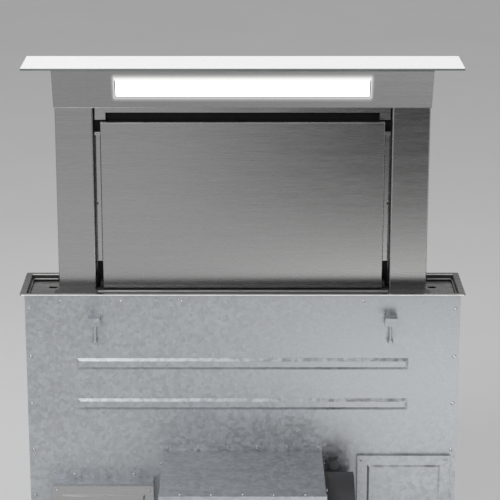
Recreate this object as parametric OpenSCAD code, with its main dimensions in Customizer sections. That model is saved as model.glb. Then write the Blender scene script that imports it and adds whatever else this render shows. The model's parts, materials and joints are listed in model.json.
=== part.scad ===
// Downdraft range hood: a tower with a light and a tilting panel that rises out of a worktop,
// with the housing, lift drive and blower that stand below it.
// The origin is the centre of the worktop cut-out, at the worktop's surface. Front is -Y, up is +Z.

/* [Worktop frame] */
// Width of the flange on the worktop
frame_w = 880; // [862:1:952]
// Depth of the flange on the worktop
frame_d = 144; // [138:1:164]
// Thickness of the flange
flange_t = 2; // [1.6:0.1:3]
// Width of the flange at each end of the recess
border_end = 12; // [6:1:16]
// Width of the flange in front of the recess and behind it
border_side = 10; // [6:1:12]
// Radius of the flange's corners
flange_r = 3; // [1:0.5:8]
// Depth of the seal's ledge below the worktop
ledge_drop = 6; // [5.5:0.5:8]
// Width of the seal's ledge
ledge_w = 4; // [3:0.5:5]
// Depth of the side trays' floor below the worktop
tray_drop = 11; // [10:0.5:14]
// Thickness of the seal against the recess's wall
seal_t = 1; // [0.6:0.1:1.1]
// Depth of the seal's upper edge below the flange's top
seal_top_drop = 2.5; // [1:0.5:3]
// Length of the oval drain slot in each side tray
drain_l = 18; // [14:1:22]
// Width of the oval drain slot
drain_w = 12; // [6:1:12]

/* [Tower] */
// Height of the lid's top over the worktop when raised
raised_h = 454; // [380:1:500]
// Distance from the flange's end to the tower's side
body_inset = 74; // [70:1:82]
// Width of each column
column_w = 74; // [60:1:84]
// Distance from the frame's opening back to the columns' face
face_setback = 36; // [32:1:40]
// Gap between the tower's back and the frame's opening
back_gap = 6; // [3:1:8]
// How far the columns reach below the worktop when raised
retained = 118; // [100:1:150]
// Thickness of the tower's sheet
skin = 1.5; // [1:0.1:2]
// Outer radius of the columns' front folds
fold_r = 3; // [2.2:0.1:4]

/* [Lid and head] */
// Gap between the lid and the recess's wall when lowered
lid_gap = 1.5; // [1.4:0.1:2.4]
// Thickness of the glass lid
lid_t = 4.5; // [4:0.1:5]
// Radius of the lid's corners
lid_r = 2; // [1:0.5:5]
// Height of the head
head_h = 79; // [70:1:100]
// How much wider the head is than the columns, at each end
head_over = 2; // [1:0.5:4]
// Gap between the head's leaning top edge and the frame's opening
head_gap = 4; // [2:0.5:8]
// Thickness of the plate that carries the lid
carrier_t = 2.5; // [2:0.1:4]
// Distance from the tower's side to the light's window
light_inset = 121; // [86:1:166]
// Height of the light's window along the leaning face
light_h = 37; // [30:1:44]
// Width of the light's bezel
bezel_w = 2; // [1.5:0.1:3]
// Depth of the light's bezel behind the face
bezel_d = 8; // [6:0.5:12]
// Thickness of the light's diffuser behind the face
diffuser_t = 2; // [1.5:0.1:3]
// Thickness of the light's circuit board
board_t = 1.6; // [1:0.1:2]

/* [Front panel and filters] */
// Width of the suction gap at each side of the panel
panel_gap = 14; // [10:1:18]
// Gap between the panel's top and the head
panel_head_gap = 29; // [24:0.5:36]
// Depth of the folded panel
panel_t = 12; // [10.5:0.5:14]
// Depth of the suction space between the panel and the liner
suction_d = 10; // [8:1:12]
// Height of the suction slot over the panel
slot_h = 14.5; // [8:0.5:18]
// Distance from a column to the slot's end
slot_inset = 24; // [18:1:40]
// Dark gap between a column and the liner
liner_gap = 3; // [2.5:0.5:5]
// Width of the side strips behind the suction gaps
strip_w = 9.5; // [6:0.5:10]
// Height of the side strips' lower ends over the worktop
strip_low = 50; // [20:1:90]
// Distance from a column to the filters
filter_inset = 30; // [29:1:60]
// Height of each filter cassette
filter_h = 294; // [220:1:300]
// Thickness of each filter cassette
filter_t = 9; // [8:1:14]
// Width of a cassette's rim
filter_rim = 12; // [8:1:20]
// Height of the filters' seat over the worktop
filter_z = 22; // [18:1:24]
// Radius of the panel's pivot pins
pivot_r = 3; // [2.5:0.1:3.4]
// Height of the panel's pivot over its lower edge
pivot_h = 9; // [7:0.5:12]
// Outer radius of the panel's folds
panel_r = 2.2; // [1.6:0.1:4]
// Width of the lips folded inward at the panel's back
panel_lip = 8; // [5:0.5:9]

/* [Foot plate] */
// Depth of the foot plate's top below the worktop
plate_drop = 3.4; // [3:0.2:5]
// How far the foot plate reaches past each column
plate_over = 8; // [5:1:10]
// Width of the foot plate's strip in front of its air slot
plate_strip = 22; // [12:1:26]
// Height of the rail along the foot plate's air slot
rail_h = 2; // [1:0.1:2.8]
// Height of the foot plate's folded front
plate_lip = 16; // [12:1:24]
// Gap between the panel and the foot plate
plate_gap = 2.4; // [2:0.1:5]

/* [Lift drive] */
// Module of the pinions and racks
tooth_m = 2.5; // [2:0.25:2.75]
// Number of teeth on each pinion
pinion_teeth = 16; // [14:1:18]
// Face width of the teeth
tooth_w = 16; // [12:1:20]
// Play between meshing teeth at the pitch line
backlash = 0.8; // [0.6:0.1:1.2]
// Distance from a rack's pitch line to its back
rack_t = 14; // [10:1:16]
// Radius of the cross shaft
shaft_r = 6; // [5:0.5:8]
// Radius of the guide rods
rod_r = 8; // [6:0.5:9]
// Distance from a guide rod to the housing's side
rod_inset = 26.5; // [24:0.5:28]
// Width of the guide blocks
block_w = 34; // [32:1:36]
// Height of the guide blocks
block_h = 122; // [100:1:130]
// Wall of the guide bushes
bush_t = 4; // [2.5:0.5:5]
// Length of each guide bush
bush_l = 28; // [20:1:40]
// Height of the carriage beam
beam_h = 44; // [42:1:54]
// Thickness of the carriage beam's sheet
beam_t = 2; // [1.5:0.5:3]
// Radius of the lift motor
motor_r = 17; // [14:0.5:17]
// Length of the lift motor
motor_l = 110; // [80:1:140]
// Clearance of everything that turns or slides, on the radius
fit = 0.05; // [0.02:0.01:0.1]

/* [Housing] */
// Thickness of the housing's sheet
sheet = 1.5; // [1:0.1:2]
// Space under the lowered carriage
bottom_gap = 46; // [30:1:90]
// Height of the feet under the housing
foot_h = 36; // [30:1:60]
// Radius of each foot's pad
pad_r = 15; // [12:1:22]
// Distance between the two fixing holes in each side
side_hole_pitch = 420; // [300:10:480]
// Distance from the housing's side to a foot bracket's middle
stance_inset = 51; // [41:1:120]
// Width of the foot brackets
foot_w = 40; // [32:1:60]
// Thickness of the foot brackets
foot_t = 3; // [2:0.5:4]
// Height of the foot brackets' uprights
foot_up = 40; // [36:1:60]
// Distance from a bracket's end to its levelling foot
foot_edge = 20; // [18:1:30]
// Radius of the feet's studs
stud_r = 4; // [3:0.5:5]
// Radius of the feet's nuts over their corners
nut_r = 7.5; // [6:0.5:9]
// Height of the feet's nuts
nut_h = 6.5; // [4:0.5:8]
// Radius of the holes for the floor screws
floor_hole_r = 3.25; // [2.5:0.25:4]
// Radius of the holes for the side screws
side_hole_r = 3.5; // [2.5:0.25:4]
// Width of the pressed ribs in the housing's back
rib_w = 24; // [16:1:40]
// Height of the pressed ribs over the sheet
rib_d = 3; // [2:0.5:5]
// Distance from the housing's ends to the ribs
rib_end = 100; // [60:1:160]
// Thickest worktop that the clamps take
clamp_z = 40; // [20:1:50]
// How far the foot brackets' gussets reach forward
gusset_l = 40; // [20:1:46]
// How far the clamps reach out under the worktop
clamp_reach = 30; // [24:1:40]
// How far the foot brackets reach in front of the housing
stance_front = 180; // [150:1:220]
// Distance between the two floor screws of each foot bracket
floor_hole_pitch = 60; // [40:1:80]

/* [Blower] */
// Radius of the blower wheel
wheel_r = 100; // [90:1:104]
// Width of the blower wheel
wheel_w = 80; // [60:1:86]
// Number of blades on the blower wheel
blade_count = 32; // [20:1:36]
// Radial depth of the blades
blade_d = 17; // [12:1:20]
// Thickness of the blades
blade_t = 1.2; // [1:0.1:2]
// Gap between the wheel and the scroll's tongue
tongue_gap = 6; // [5:0.5:12]
// Growth of the scroll from its tongue to its outlet
scroll_growth = 44; // [36:1:50]
// Inner width of the scroll
scroll_w = 94; // [90:1:100]
// Depth of the blower box
box_d = 232; // [224:1:260]
// Width of the blower box's flange on the housing
box_flange = 10; // [6:1:14]
// Height of the blower box over the housing's bottom
box_up = 5; // [2:1:12]
// Height of the raised panels pressed into the covers
emboss = 2; // [1:0.5:3]
// Width of the scroll's rolled seams
seam_w = 3; // [2:0.5:5]
// Radius of the duct spigot
duct_r = 75; // [72:0.5:80]
// Length of the duct spigot
duct_l = 60; // [45:1:90]
// Radius of the blower motor
fan_motor_r = 50; // [40:1:60]
// Length of the blower motor
fan_motor_l = 62; // [50:1:70]

/* [Control box] */
// Width of the control box
control_w = 200; // [160:1:210]
// Height of the control box
control_h = 150; // [100:1:200]
// Depth of the control box
control_d = 48; // [36:1:60]
// Height of the control box over the housing's bottom
control_up = 120; // [100:1:130]
// Height of the service cover
service_h = 200; // [100:1:240]
// Depth of the service cover
service_d = 8; // [6:1:16]
// Gap between the service cover and what is beside it
service_gap = 12; // [8:1:20]
// Radius of the cable gland's bore
gland_r = 4.5; // [3:0.5:6]

/* [Hidden] */
$fn = 48;

// Frame and housing
recess_w = frame_w - 2 * border_end;
recess_d = frame_d - 2 * border_side;
opening_w = recess_w - 2 * ledge_w;
opening_d = recess_d - 2 * ledge_w;
inner_w = recess_w + 2 * sheet;
inner_d = recess_d + 2 * sheet;
housing_w = inner_w + 2 * sheet;
housing_d = inner_d + 2 * sheet;
stance_w = housing_w - 2 * stance_inset;
body_w = frame_w - 2 * body_inset;
light_w = body_w - 2 * light_inset;

// Lid and head
lid_rest_gap = 0.5;
lid_w = recess_w - 2 * lid_gap;
lid_d = recess_d - 2 * lid_gap;
lid_z = raised_h - lid_t;
travel = raised_h - flange_t;
head_top = lid_z - carrier_t;
head_z = head_top - head_h;
face_y = face_setback - opening_d / 2;
back_y = opening_d / 2 - back_gap;
head_y = head_gap - opening_d / 2;
head_w = body_w + 2 * head_over;
lean = face_y - head_y;
lean_a = atan(lean / head_h);
light_z = head_z + 0.54 * head_h;
light_y = face_y - lean * (light_z - head_z) / head_h;
proud = 1;

// Recess, panel and filters
recess_in = body_w - 2 * column_w;
filter_w = recess_in / 2 - filter_inset;
panel_w = recess_in - 2 * panel_gap;
panel_z = plate_gap - plate_drop;
panel_top = head_z - panel_head_gap;
panel_back = face_y + panel_t;
liner_y = panel_back + suction_d;
liner_w = recess_in - 2 * liner_gap;
catch_z = panel_top - 28.5;
catch_h = 6.5;
notch_z = catch_z / 2 + 14;
wall_y = liner_y + skin;
pocket_y = wall_y + skin;
pocket_lip = 6;
pocket_top_gap = 1;
pivot_y = face_y + 0.55 * panel_t;
pivot_z = panel_z + pivot_h;

// Foot plate and trays
plate_w = body_w + 2 * plate_over;
plate_y = 1 - opening_d / 2;
tray_gap = 2;
tray_in = plate_w / 2 + tray_gap;
tray_in_rear = body_w / 2 + 3;
drain_x = tray_in_rear + 3.5 + drain_l / 2;
drain_y = 16;

// Lift drive
pitch_r = tooth_m * pinion_teeth / 2;
pitch = PI * tooth_m;
tip_r = pitch_r + tooth_m;
root_r = pitch_r - 1.25 * tooth_m;
rail_d = 15.5;
rack_back = inner_d / 2 - rail_d;
pitch_y = rack_back - rack_t;
shaft_y = pitch_y - pitch_r;
shaft_z = -retained - beam_h / 2;
block_gap = 4.5;
rod_x = inner_w / 2 - rod_inset;
rod_y = shaft_y - tip_r - block_gap - block_w / 2;
beam_end = rod_x - block_w / 2;
beam_w = 44;
pinion_x = beam_end + 5;
rod_top = -tray_drop - sheet - 1.5;
bracket_t = 8;
bracket_z = rod_top - 2 - bracket_t;
stop_gap = 4;
block_top = bracket_z - stop_gap;
block_z = block_top - block_h;
housing_h = retained + beam_h + travel + bottom_gap;
rod_bottom = -housing_h + 12;
rack_top = shaft_z + 1.6 * tip_r;
rack_teeth = ceil((travel + 3.2 * tip_r) / pitch);
rack_bottom = rack_top - rack_teeth * pitch;
worm_y = shaft_y + 18;

// Blower
front_y = -housing_d / 2;
tongue_r = wheel_r + tongue_gap;
outlet_r = tongue_r + scroll_growth;
tongue_a = 30;
sweep_a = 300;
scroll_k = ln(outlet_r / tongue_r) / sweep_a;
spigot_flange = 12;
scroll_y = front_y - duct_r - spigot_flange - 3 + scroll_w / 2 + sheet;
scroll_end = scroll_y - scroll_w - 2 * sheet;
box_gap = 8;
wheel_x = -10;
box_z = -housing_h + box_up;
wheel_z = box_z + sheet + box_gap + sheet + spiral_r(tongue_a + 90);
outlet_top = wheel_z + outlet_r;
outlet_bottom = wheel_z + tongue_r * sin(tongue_a);
outlet_z = (outlet_top + outlet_bottom) / 2;
outlet_y = scroll_y - sheet - scroll_w / 2;
box_w = 320;
box_h = outlet_z + duct_r + spigot_flange + 4 - box_z;
box_y = front_y - box_d;
fan_shaft_r = 5;
plate_t = 2;
ring_h = 3;
cone_r = wheel_r - blade_d - 4;
cone_lip = 8;
blank_r = cone_r + cone_lip + 14;
wheel_y = scroll_y - sheet - 4;
bracket_disc = 3;
motor_y = scroll_end - bracket_disc;
pin_r = 2;
pin_x = box_w / 2 + 14;
flap_r = duct_r - sheet - 1;
knuckle_r = 4;
flap_edge = knuckle_r + 1;

// Control box
control_x = -box_w / 2 - 20 - control_w;
control_z = -housing_h + control_up;

function spiral_r(a) = tongue_r * exp(scroll_k * a);

// Points of the scroll's outline in X and Z from the wheel's centre, grown outward by g
function scroll_points(g, out_x) = concat(
    [[out_x, tongue_r * sin(tongue_a) - g]],
    [for (a = [0 : 10 : sweep_a])
        (spiral_r(a) + g) * [cos(tongue_a - a), sin(tongue_a - a)]],
    [[out_x, outlet_r + g]]
);

// One flank of a pinion tooth as an involute of the base circle, from r0 out to r1
function involute_a(r, base) = r <= base ? 0 : sqrt(r * r / (base * base) - 1) * 180 / PI
    - acos(base / r);
function flank(sign, r) = let(base = pitch_r * cos(20), half = (pitch - backlash) / (4 * pitch_r) * 180 / PI,
    a = half + involute_a(pitch_r, base) - involute_a(r, base)) r * [cos(sign * a), sin(sign * a)];
function tooth_radii() = [for (i = [0 : 5]) root_r + (tip_r - root_r) * i / 5];
function pinion_points() = [for (t = [0 : pinion_teeth - 1], s = [-1, 1], i = [0 : 5])
    let(r = tooth_radii()[s < 0 ? i : 5 - i], p = flank(s, r), a = t * 360 / pinion_teeth)
    [p.x * cos(a) - p.y * sin(a), p.x * sin(a) + p.y * cos(a)]];

// Teeth of a rack along Z with their tips towards -Y, from z0 upward, and its flat back
function rack_points(z0, n) = let(half = (pitch - backlash) / 4, lean20 = tan(20), add = tooth_m,
    ded = 1.25 * tooth_m) concat(
    [[z0, rack_back]],
    [for (i = [0 : n - 1], k = [0 : 3]) let(c = z0 + (i + 0.5) * pitch)
        k == 0 ? [c - half - ded * lean20, pitch_y + ded] :
        k == 1 ? [c - half + add * lean20, pitch_y - add] :
        k == 2 ? [c + half - add * lean20, pitch_y - add] :
        [c + half + ded * lean20, pitch_y + ded]],
    [[z0 + n * pitch, rack_back]]
);

module box3(lo, hi) { translate(lo) cube(hi - lo); }

module both_sides() {
    children();
    mirror([1, 0, 0]) children();
}

module rounded_rect(w, d, r) {
    square([w - 2 * r, d], center = true);
    square([w, d - 2 * r], center = true);
    for (x = [-1, 1], y = [-1, 1]) translate([x * (w / 2 - r), y * (d / 2 - r)]) circle(r);
}

module oval(l, w) {
    square([l - w, w], center = true);
    for (x = [-1, 1]) translate([x * (l - w) / 2, 0]) circle(w / 2);
}

// Outline w wide and d deep whose two front corners are rounded
module front_folds(w, d, r) {
    translate([r - w / 2, 0]) square([w - 2 * r, d]);
    translate([-w / 2, r]) square([w, d - r]);
    for (x = [-1, 1]) translate([x * (w / 2 - r), r]) circle(r);
}

// Turns an outline drawn in Y and Z into a length along X, from x0 to x1
module along_x(x0, x1) {
    translate([x0, 0, 0]) rotate([90, 0, 90]) linear_extrude(x1 - x0) children();
}

// Turns an outline drawn in X and Z into a depth along Y, from y0 back to y1
module along_y(y0, y1) {
    translate([0, y1, 0]) rotate([90, 0, 0]) linear_extrude(y1 - y0) children();
}

// A round bar along X or Y
module bar_x(x0, x1, r) { translate([x0, 0, 0]) rotate([0, 90, 0]) cylinder(h = x1 - x0, r = r); }
module bar_y(y0, y1, r) { translate([0, y1, 0]) rotate([90, 0, 0]) cylinder(h = y1 - y0, r = r); }

// A panel with sloped sides raised by h from the face at y that looks to -Y
module raised_panel(x0, z0, x1, z1, y, h) {
    intersection() {
        along_x(x0, x1) polygon([[y, z0], [y, z1], [y - h, z1 - 2 * h], [y - h, z0 + 2 * h]]);
        translate([0, 0, z0]) linear_extrude(z1 - z0)
            polygon([[x0, y], [x1, y], [x1 - 2 * h, y - h], [x0 + 2 * h, y - h]]);
    }
}

// Places children on the head's leaning face, with -Y out of the face
module on_lean() { translate([0, light_y, light_z]) rotate([lean_a, 0, 0]) children(); }

// Housing

module housing_front() {
    bead_1 = -0.22 * housing_h;
    bead_2 = -0.35 * housing_h;
    color("gainsboro") {
        difference() {
            box3([-housing_w / 2, -housing_d / 2, -housing_h], [housing_w / 2, -inner_d / 2, 0]);
            translate([wheel_x, 0, wheel_z]) bar_y(-housing_d, 0, cone_r + cone_lip);
        }
        for (z = [bead_1, bead_2])
            raised_panel(-housing_w / 2 + rib_end, z - rib_w / 2, housing_w / 2 - rib_end, z + rib_w / 2,
                -housing_d / 2, rib_d);
    }
}

module press_rib(x, z0) {
    translate([x, housing_d / 2, z0]) rotate([0, 0, 90]) linear_extrude(-rib_end - z0)
        polygon([[0, -rib_w / 2], [0, rib_w / 2], [rib_d, rib_w / 3], [rib_d, -rib_w / 3]]);
}

// The round plate closes the second air opening, for a blower at the back
module housing_back() {
    color("gainsboro") {
        box3([-housing_w / 2, inner_d / 2, -housing_h], [housing_w / 2, housing_d / 2, 0]);
        for (x = [-1, 1]) press_rib(x * housing_w / 3, -housing_h + rib_end);
        press_rib(0, wheel_z + blank_r + rib_w);
        translate([wheel_x, 0, wheel_z]) {
            bar_y(housing_d / 2, housing_d / 2 + sheet, blank_r);
            for (a = [0 : 60 : 359]) rotate([0, a, 0]) translate([blank_r - 2, 0, 0])
                bar_y(housing_d / 2, housing_d / 2 + sheet, 9);
        }
    }
}

module housing_side() {
    difference() {
        box3([inner_w / 2, -inner_d / 2, -housing_h], [housing_w / 2, inner_d / 2, 0]);
        for (z = [-1, 1]) translate([0, 0, -housing_h / 2 + z * side_hole_pitch / 2])
            bar_x(inner_w / 2 - 1, housing_w / 2 + 1, side_hole_r);
    }
}

module housing_left() { color("gainsboro") mirror([1, 0, 0]) housing_side(); }
module housing_right() { color("gainsboro") housing_side(); }

module housing_base() {
    vent_l = 60;
    vent_w = 20;
    color("gainsboro") difference() {
        box3([-inner_w / 2, -inner_d / 2, -housing_h], [inner_w / 2, inner_d / 2, -housing_h + sheet]);
        for (x = [-1, 1]) translate([x * stance_w / 3, 0, -housing_h - 1])
            linear_extrude(sheet + 2) oval(vent_l, vent_w);
    }
}

module foot_brackets() {
    color("gray") both_sides() translate([stance_w / 2, 0, -housing_h]) difference() {
        union() {
            box3([-foot_w / 2, foot_front() - foot_edge, -foot_t], [foot_w / 2, housing_d / 2, 0]);
            box3([-foot_w / 2, -housing_d / 2 - foot_t, 0], [foot_w / 2, -housing_d / 2, foot_up]);
            for (x = [-foot_w / 2, foot_w / 2 - foot_t]) translate([0, -housing_d / 2 - foot_t, 0])
                along_x(x, x + foot_t) polygon([[-gusset_l, 0], [0, 0], [0, foot_up - 4], [-4, foot_up - 4]]);
        }
        for (y = [foot_front(), foot_back()]) translate([0, y, -foot_t - 1])
            cylinder(h = foot_t + 2, r = stud_r);
        for (y = [0, 1]) translate([0, foot_front() + 2 * foot_edge + y * floor_hole_pitch, -foot_t - 1])
            cylinder(h = foot_t + 2, r = floor_hole_r);
        for (z = [0.3, 0.7]) translate([0, 0, z * foot_up])
            bar_y(-housing_d / 2 - foot_t - 1, -housing_d / 2 + 1, 2.75);
    }
}

function foot_front() = -housing_d / 2 - stance_front + foot_edge;
function foot_back() = housing_d / 2 - foot_edge;

module levelling_feet() {
    pad_h = 8;
    nut_z = foot_h - foot_t - nut_h;
    color("dimgray") both_sides() for (y = [foot_front(), foot_back()])
        translate([stance_w / 2, y, -housing_h - foot_h]) {
            cylinder(h = pad_h, r1 = pad_r, r2 = pad_r - 4);
            translate([0, 0, pad_h]) cylinder(h = nut_z - pad_h, r = stud_r);
            translate([0, 0, nut_z]) cylinder(h = nut_h, r = nut_r, $fn = 6);
            translate([0, 0, nut_z + nut_h]) cylinder(h = foot_t, r = stud_r);
        }
}

// Worktop frame

module trim_frame() {
    color("silver") difference() {
        union() {
            linear_extrude(flange_t) rounded_rect(frame_w, frame_d, flange_r);
            box3([-inner_w / 2, -inner_d / 2, -ledge_drop - sheet], [inner_w / 2, inner_d / 2, 0]);
        }
        box3([-recess_w / 2, -recess_d / 2, -ledge_drop], [recess_w / 2, recess_d / 2, flange_t + 1]);
        box3([-opening_w / 2, -opening_d / 2, -ledge_drop - sheet - 1],
            [opening_w / 2, opening_d / 2, 0]);
    }
}

// The seal's pads run along the front and back only; its wall strip runs all round
module frame_seal() {
    pad_top = flange_t - lid_t - lid_rest_gap;
    seal_w = recess_w - 2 * seal_t;
    seal_d = recess_d - 2 * seal_t;
    color("#202020") difference() {
        box3([-recess_w / 2, -recess_d / 2, -ledge_drop],
            [recess_w / 2, recess_d / 2, flange_t - seal_top_drop]);
        box3([-seal_w / 2, -seal_d / 2, pad_top], [seal_w / 2, seal_d / 2, flange_t]);
        box3([-opening_w / 2, -opening_d / 2, -ledge_drop - 1], [opening_w / 2, opening_d / 2, flange_t]);
        box3([-recess_w / 2 - 1, -opening_d / 2, -ledge_drop - 1],
            [recess_w / 2 + 1, opening_d / 2, pad_top]);
    }
}

module tray_outline() {
    difference() {
        translate([tray_in_rear, -inner_d / 2]) square([inner_w / 2 - tray_in_rear, inner_d]);
        translate([tray_in_rear - 1, -inner_d / 2 - 1])
            square([tray_in - tray_in_rear + 1, face_y + 3 + inner_d / 2]);
    }
}

module tray_side() {
    floor_z = -tray_drop - sheet;
    difference() {
        translate([0, 0, floor_z]) linear_extrude(tray_drop - ledge_drop) tray_outline();
        box3([tray_in_rear - 1, -inner_d / 2 + sheet, -tray_drop],
            [inner_w / 2 - sheet, inner_d / 2 - sheet, 0]);
        translate([drain_x, drain_y, floor_z - 1]) linear_extrude(sheet + 2) oval(drain_l, drain_w);
    }
}

module tray_left() { color("darkgray") mirror([1, 0, 0]) tray_side(); }
module tray_right() { color("darkgray") tray_side(); }

module worktop_clamp() {
    boss_w = 24;
    boss_d = 14;
    boss_h = 12;
    claw_t = 3;
    screw_r = 3;
    screw_l = 52;
    color("lightgray") translate([0, -housing_d / 2, -clamp_z]) {
        difference() {
            box3([-boss_w / 2, -boss_d, -10 - boss_h], [boss_w / 2, 0, -10]);
            translate([0, -boss_d / 2, -11 - boss_h]) cylinder(h = boss_h + 2, r = screw_r);
        }
        translate([0, -boss_d / 2, -screw_l]) cylinder(h = screw_l, r = screw_r);
        translate([0, -boss_d / 2, -screw_l - 5]) cylinder(h = 5, r = 2 * screw_r, $fn = 6);
        difference() {
            union() {
                box3([-boss_w / 2, -clamp_reach, -claw_t], [boss_w / 2, 0, 0]);
                box3([-boss_w / 2, -clamp_reach, -claw_t - 5], [boss_w / 2, claw_t - clamp_reach, -claw_t]);
            }
            translate([0, -boss_d / 2, -claw_t - 1]) cylinder(h = claw_t + 2, r = screw_r);
        }
    }
}

module worktop_clamps() {
    for (x = [-0.34, 0.34]) translate([x * housing_w, 0, 0]) {
        worktop_clamp();
        mirror([0, 1, 0]) worktop_clamp();
    }
}

// Lift guides and racks

module guide_rod() {
    color("lightsteelblue") translate([rod_x, rod_y, rod_bottom])
        cylinder(h = rod_top - rod_bottom, r = rod_r);
}

module guide_rods() { both_sides() guide_rod(); }

module rod_brackets() {
    low = rod_bottom + 2;
    color("gray") both_sides() for (z = [bracket_z, low]) difference() {
        union() {
            box3([rod_x, rod_y - rod_r - 6, z], [inner_w / 2, rod_y + rod_r + 6, z + bracket_t]);
            translate([rod_x, rod_y, z]) cylinder(h = bracket_t, r = rod_r + 6);
        }
        translate([rod_x, rod_y, z - 1]) cylinder(h = bracket_t + 2, r = rod_r);
    }
}

module rack() {
    color("slategray") translate([pinion_x + tooth_w, 0, 0]) rotate([0, -90, 0])
        linear_extrude(tooth_w) polygon(rack_points(rack_bottom, rack_teeth));
}

module racks() { both_sides() rack(); }

module rack_rails() {
    color("gainsboro") both_sides() translate([0, 0, rack_bottom - 6])
        linear_extrude(rack_top - rack_bottom + 12) difference() {
            translate([pinion_x - 2, rack_back]) square([tooth_w + 4, rail_d]);
            translate([pinion_x, rack_back + 2]) square([tooth_w, rail_d]);
        }
}

// Blower

module box_outline(g) {
    translate([-box_w / 2 - g, box_z - g]) square([box_w + 2 * g, box_h + 2 * g]);
}

module blower_box() {
    color("gainsboro") difference() {
        union() {
            along_y(box_y, front_y) box_outline(0);
            along_y(front_y - sheet, front_y) translate([-box_w / 2 - box_flange, box_z])
                square([box_w + 2 * box_flange, box_h + box_flange]);
        }
        along_y(box_y - 1, front_y - sheet) box_outline(-sheet);
        translate([wheel_x, 0, wheel_z]) bar_y(front_y - 3, front_y + 1, cone_r + cone_lip);
        translate([0, outlet_y, outlet_z]) bar_x(box_w / 2 - 3, box_w / 2 + 1, duct_r - sheet);
    }
}

module blower_cover() {
    lip = 12;
    slot_l = 34;
    slot_w = 6;
    slot_pitch = 24;
    slot_up = 36;
    margin = 36;
    color("gainsboro") {
        difference() {
            along_y(box_y - sheet, box_y + lip) box_outline(sheet);
            along_y(box_y, box_y + lip + 1) box_outline(0);
            for (x = [-4 : 4]) translate([x * slot_pitch, 0, box_z + slot_up])
                along_y(box_y - sheet - 1, box_y + 1) rotate(90) oval(slot_l, slot_w);
        }
        raised_panel(-box_w / 2 + margin, box_z + slot_up + slot_l, box_w / 2 - margin,
            box_z + box_h - margin, box_y - sheet, emboss);
    }
}

// The bell mouth curls from the housing's sheet into the scroll's inlet
module inlet_cone() {
    depth = front_y - scroll_y + sheet + 2;
    color("darkgray") translate([wheel_x, front_y, wheel_z]) rotate([90, 0, 0]) rotate_extrude() {
        intersection() {
            translate([cone_r + cone_lip, cone_lip]) difference() {
                circle(cone_lip + sheet);
                circle(cone_lip);
            }
            translate([0, -sheet]) square([cone_r + cone_lip, cone_lip + sheet]);
        }
        translate([cone_r - sheet, cone_lip]) square([sheet, depth - cone_lip]);
    }
}

module blower_scroll() {
    out_x = box_w / 2 - sheet - wheel_x;
    color("silver") translate([wheel_x, 0, wheel_z]) difference() {
        union() {
            along_y(scroll_end, scroll_y) polygon(scroll_points(sheet, out_x));
            for (y = [scroll_end, scroll_y - sheet])
                along_y(y, y + sheet) polygon(scroll_points(sheet + seam_w, out_x));
        }
        along_y(scroll_end + sheet, scroll_y - sheet) union() {
            polygon(scroll_points(0, out_x + 1));
        }
        bar_y(scroll_y - sheet - 1, scroll_y + 1, cone_r);
        bar_y(scroll_end - 1, scroll_end + sheet + 1, 16);
    }
}

module motor_bracket() {
    color("gray") translate([wheel_x, 0, wheel_z]) difference() {
        union() {
            bar_y(motor_y, scroll_end, fan_motor_r + 14);
            for (a = [0, 120, 240]) rotate([0, a, 0]) translate([fan_motor_r + 14, 0, 0])
                bar_y(motor_y, scroll_end, 12);
        }
        bar_y(motor_y - 1, scroll_end + 1, 14);
        for (a = [0, 120, 240]) rotate([0, a, 0]) translate([fan_motor_r + 16, 0, 0])
            bar_y(motor_y - 1, scroll_end + 1, 3);
        for (a = [0 : 30 : 359]) if (a % 120 != 0) rotate([0, a, 0]) translate([fan_motor_r + 7, 0, 0])
            bar_y(motor_y - 1, scroll_end + 1, 4);
    }
}

module fan_motor() {
    plug_w = 30;
    color("dimgray") translate([wheel_x, 0, wheel_z]) difference() {
        union() {
            bar_y(motor_y - fan_motor_l, motor_y, fan_motor_r);
            bar_y(motor_y - fan_motor_l - 6, motor_y - fan_motor_l, fan_motor_r - 14);
            bar_y(motor_y - fan_motor_l - 10, motor_y - fan_motor_l, 11);
            bar_y(motor_y, scroll_end + 6, 12);
            box3([-plug_w / 2, motor_y - fan_motor_l + 8, fan_motor_r - 4],
                [plug_w / 2, motor_y - fan_motor_l + 26, fan_motor_r + 9]);
        }
        bar_y(motor_y - fan_motor_l + 20, scroll_end + 7, fan_shaft_r + fit);
        for (a = [0 : 30 : 359]) rotate([0, a, 0]) translate([fan_motor_r, 0, 0])
            bar_y(motor_y - fan_motor_l - 1, motor_y - 12, 3);
    }
}

module fan_shaft() {
    color("lightsteelblue") translate([wheel_x, 0, wheel_z])
        bar_y(motor_y - fan_motor_l + 22, wheel_y - wheel_w + 14, fan_shaft_r);
}

module blade() {
    rc = blade_d * 0.8;
    mid = wheel_r - blade_d / 2;
    intersection() {
        translate([mid, rc * 0.8]) difference() {
            circle(rc + blade_t / 2);
            circle(rc - blade_t / 2);
        }
        translate([mid - blade_d, -rc]) square([2 * blade_d, rc * 1.8]);
        difference() {
            circle(wheel_r - 1, $fn = 96);
            circle(wheel_r - blade_d, $fn = 96);
        }
    }
}

module on_wheel() { translate([wheel_x, wheel_y, wheel_z]) rotate([90, 0, 0]) children(); }

module impeller() {
    hub_h = 14;
    color("whitesmoke") on_wheel() difference() {
        union() {
            translate([0, 0, wheel_w - plate_t]) cylinder(h = plate_t, r = wheel_r, $fn = 96);
            translate([0, 0, wheel_w - hub_h]) cylinder(h = hub_h, r = 13);
        }
        translate([0, 0, wheel_w - hub_h - 1]) cylinder(h = hub_h + 2, r = fan_shaft_r);
        for (a = [0 : 60 : 359]) rotate(a) translate([wheel_r * 0.45, 0, wheel_w - plate_t - 1])
            cylinder(h = plate_t + 2, r = 12);
    }
}

module wheel_blades() {
    color("whitesmoke") on_wheel() translate([0, 0, ring_h]) linear_extrude(wheel_w - plate_t - ring_h)
        for (i = [0 : blade_count - 1]) rotate(i * 360 / blade_count) blade();
}

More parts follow.
